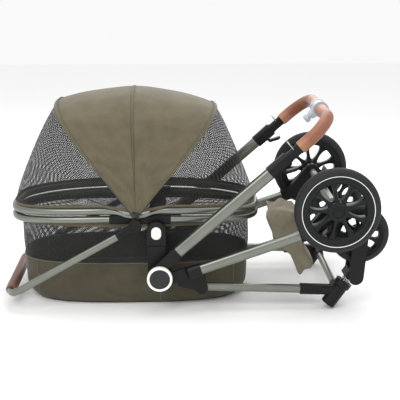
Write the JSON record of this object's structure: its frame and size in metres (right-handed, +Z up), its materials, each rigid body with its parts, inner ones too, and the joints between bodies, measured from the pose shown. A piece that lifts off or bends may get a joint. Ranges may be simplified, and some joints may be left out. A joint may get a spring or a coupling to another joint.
{
  "type": "pet stroller",
  "caption": "Pet stroller lying folded: oval carrier with a hinged hood and carry handle, clipped to a two-frame folding chassis with a telescopic push bar.",
  "frame": {"origin": "centre of the carrier's flat underside", "axes": "+Z up, +X from the carrier towards the folded wheels, -Y the stroller's left side"},
  "size_m": [1.1743, 0.582, 0.656],
  "materials": {
    "aluminium": "satin anodised",
    "black_plastic": "moulded",
    "white_plastic": "gloss",
    "grey_plastic": "satin",
    "olive_fabric": "woven",
    "black_mesh": "open mesh",
    "dark_cushion": "quilted",
    "tan_leather": "grained",
    "tyre_rubber": "matt",
    "steel": "bright"
  },
  "bodies": {
    "chassis": {"hub_left": "black_plastic", "hub_right": "black_plastic", "hub_cover_left": "white_plastic", "hub_cover_right": "white_plastic"},
    "carrier": {"carrier_base": "black_plastic", "tub_fabric": "olive_fabric", "cushion": "dark_cushion", "lower_rim_front": "aluminium", "lower_rim_rear": "aluminium", "side_bracket_left": "black_plastic", "side_bracket_right": "black_plastic", "rear_rim_bow": "aluminium", "hood_net_rear": "black_mesh"},
    "button_left": {"release_button_left": "white_plastic"},
    "button_right": {"release_button_right": "white_plastic"},
    "rear_hood": {"rear_bow": "black_plastic"},
    "centre_hood": {"centre_bow": "black_plastic", "hood_canopy": "olive_fabric"},
    "front_hood": {"front_bow": "black_plastic", "hood_net_front": "black_mesh"},
    "front_rim": {"front_rim_bow": "aluminium"},
    "carry_handle": {"carry_bail": "aluminium", "carry_grip": "tan_leather"},
    "handle": {"handle_arm_left": "aluminium", "handle_arm_right": "aluminium", "handle_housing_left": "black_plastic", "handle_housing_right": "black_plastic"},
    "lever_left": {"height_lever_left": "black_plastic"},
    "lever_right": {"height_lever_right": "black_plastic"},
    "push_bar": {"handlebar": "aluminium", "handlebar_grip_left": "tan_leather", "handlebar_grip_right": "tan_leather", "handlebar_centre": "grey_plastic"},
    "fold_release": {"fold_button": "grey_plastic"},
    "rear_frame": {"rear_sleeve_left": "black_plastic", "rear_sleeve_right": "black_plastic", "rear_leg_left": "aluminium", "rear_leg_right": "aluminium", "wheel_carrier_left": "black_plastic", "wheel_carrier_right": "black_plastic", "rear_axle_tube": "aluminium", "storage_basket": "olive_fabric"},
    "brake": {"brake_pedal": "black_plastic"},
    "rear_wheel_left": {"rear_tyre_left": "tyre_rubber", "rear_rim_left": "black_plastic"},
    "rear_wheel_right": {"rear_tyre_right": "tyre_rubber", "rear_rim_right": "black_plastic"},
    "front_frame": {"front_leg_left": "aluminium", "front_leg_right": "aluminium", "caster_sleeve_left": "black_plastic", "caster_sleeve_right": "black_plastic", "front_cross_tube": "aluminium"},
    "caster_left": {"caster_stem_left": "steel", "front_spring_left": "steel"},
    "caster_right": {"caster_stem_right": "steel", "front_spring_right": "steel"},
    "fork_body_left": {"fork_left": "black_plastic"},
    "fork_body_right": {"fork_right": "black_plastic"},
    "front_wheel_body_left": {"front_wheel_left": "tyre_rubber"},
    "front_wheel_body_right": {"front_wheel_right": "tyre_rubber"}
  },
  "joints": [
    {"name": "carrier_lift", "type": "slide", "parent": "chassis", "child": "carrier", "axis": [0, 0, 1], "range_m": [0, 0.12]},
    {"name": "hood_fold", "type": "hinge", "parent": "carrier", "child": "rear_hood", "pos_m": [0.005, 0, 0.292], "axis": [0, 1, 0], "range_deg": [0, 39.4], "deforming": ["hood_net_rear"]},
    {"name": "centre_bow_fold", "type": "hinge", "parent": "rear_hood", "child": "centre_hood", "pos_m": [0.005, 0, 0.292], "axis": [0, 1, 0], "range_deg": [0, 33.6], "deforming": ["hood_canopy"]},
    {"name": "front_bow_fold", "type": "hinge", "parent": "centre_hood", "child": "front_hood", "pos_m": [0.005, 0, 0.292], "axis": [0, 1, 0], "range_deg": [0, 29.8]},
    {"name": "front_rim_fold", "type": "hinge", "parent": "front_hood", "child": "front_rim", "pos_m": [0.005, 0, 0.292], "axis": [0, 1, 0], "range_deg": [0, 36], "deforming": ["hood_net_front"]},
    {"name": "carry_handle_turn", "type": "hinge", "parent": "carrier", "child": "carry_handle", "pos_m": [0.003, 0, 0.27], "axis": [0, 1, 0], "range_deg": [0, 119]},
    {"name": "rear_frame_fold", "type": "hinge", "parent": "chassis", "child": "rear_frame", "pos_m": [0.0756, 0, 0.116], "axis": [0, 1, 0], "range_deg": [0, 83.4]},
    {"name": "front_frame_fold", "type": "hinge", "parent": "rear_frame", "child": "front_frame", "pos_m": [0.2034, 0, 0.073], "axis": [0, 1, 0], "range_deg": [0, 62], "deforming": ["storage_basket"]},
    {"name": "handle_fold", "type": "hinge", "parent": "chassis", "child": "handle", "pos_m": [0.0756, 0, 0.116], "axis": [0, 1, 0], "range_deg": [0, 10.7]},
    {"name": "handle_height", "type": "slide", "parent": "handle", "child": "push_bar", "axis": [0.749, 0, 0.6626], "range_m": [0, 0.1]},
    {"name": "fold_release_press", "type": "slide", "parent": "push_bar", "child": "fold_release", "axis": [0.749, 0, 0.6626], "range_m": [0, 0.005], "stiffness_N_per_m": 500, "springref_m": -0.002},
    {"name": "brake_press", "type": "hinge", "parent": "rear_frame", "child": "brake", "pos_m": [0.598, 0, 0.331], "axis": [0, 1, 0], "range_deg": [0, 15]},
    {"name": "button_press_left", "type": "slide", "parent": "carrier", "child": "button_left", "axis": [0, 1, 0], "range_m": [0, 0.004], "stiffness_N_per_m": 500, "springref_m": -0.001},
    {"name": "button_press_right", "type": "slide", "parent": "carrier", "child": "button_right", "axis": [0, -1, 0], "range_m": [0, 0.004], "stiffness_N_per_m": 500, "springref_m": -0.001},
    {"name": "lever_press_left", "type": "hinge", "parent": "handle", "child": "lever_left", "pos_m": [0.44994, -0.2265, 0.43766], "axis": [0, -1, 0], "range_deg": [0, 10], "stiffness_Nm_per_rad": 0.3, "springref_deg": -5.73},
    {"name": "lever_press_right", "type": "hinge", "parent": "handle", "child": "lever_right", "pos_m": [0.44994, 0.2265, 0.43766], "axis": [0, -1, 0], "range_deg": [0, 10], "stiffness_Nm_per_rad": 0.3, "springref_deg": -5.73},
    {"name": "rear_wheel_spin_left", "type": "hinge", "parent": "rear_frame", "child": "rear_wheel_left", "pos_m": [0.598, -0.27, 0.331], "axis": [0, 1, 0], "continuous": true},
    {"name": "rear_wheel_spin_right", "type": "hinge", "parent": "rear_frame", "child": "rear_wheel_right", "pos_m": [0.598, 0.27, 0.331], "axis": [0, 1, 0], "continuous": true},
    {"name": "caster_swivel_left", "type": "hinge", "parent": "front_frame", "child": "caster_left", "pos_m": [0.5925, -0.198, 0.01271], "axis": [0.565, 0, 0.8251], "range_deg": [-270, 12]},
    {"name": "caster_swivel_right", "type": "hinge", "parent": "front_frame", "child": "caster_right", "pos_m": [0.5925, 0.198, 0.01271], "axis": [0.565, 0, 0.8251], "range_deg": [-12, 270]},
    {"name": "suspension_left", "type": "slide", "parent": "caster_left", "child": "fork_body_left", "axis": [-0.565, 0, -0.8251], "range_m": [0, 0.008], "stiffness_N_per_m": 4000, "springref_m": -0.004, "deforming": ["front_spring_left"]},
    {"name": "suspension_right", "type": "slide", "parent": "caster_right", "child": "fork_body_right", "axis": [-0.565, 0, -0.8251], "range_m": [0, 0.008], "stiffness_N_per_m": 4000, "springref_m": -0.004, "deforming": ["front_spring_right"]},
    {"name": "front_wheel_spin_left", "type": "hinge", "parent": "fork_body_left", "child": "front_wheel_body_left", "pos_m": [0.6805, -0.198, 0.2356], "axis": [0, 1, 0], "continuous": true},
    {"name": "front_wheel_spin_right", "type": "hinge", "parent": "fork_body_right", "child": "front_wheel_body_right", "pos_m": [0.6805, 0.198, 0.2356], "axis": [0, 1, 0], "continuous": true}
  ],
  "couplings": [
    {"joint": "centre_bow_fold", "follows": "hood_fold", "ratio": 0.8527},
    {"joint": "front_bow_fold", "follows": "hood_fold", "ratio": 0.7563},
    {"joint": "front_rim_fold", "follows": "hood_fold", "ratio": 0.9137},
    {"joint": "front_frame_fold", "follows": "rear_frame_fold", "ratio": 0.7434},
    {"joint": "handle_fold", "follows": "rear_frame_fold", "ratio": 0.1282}
  ]
}
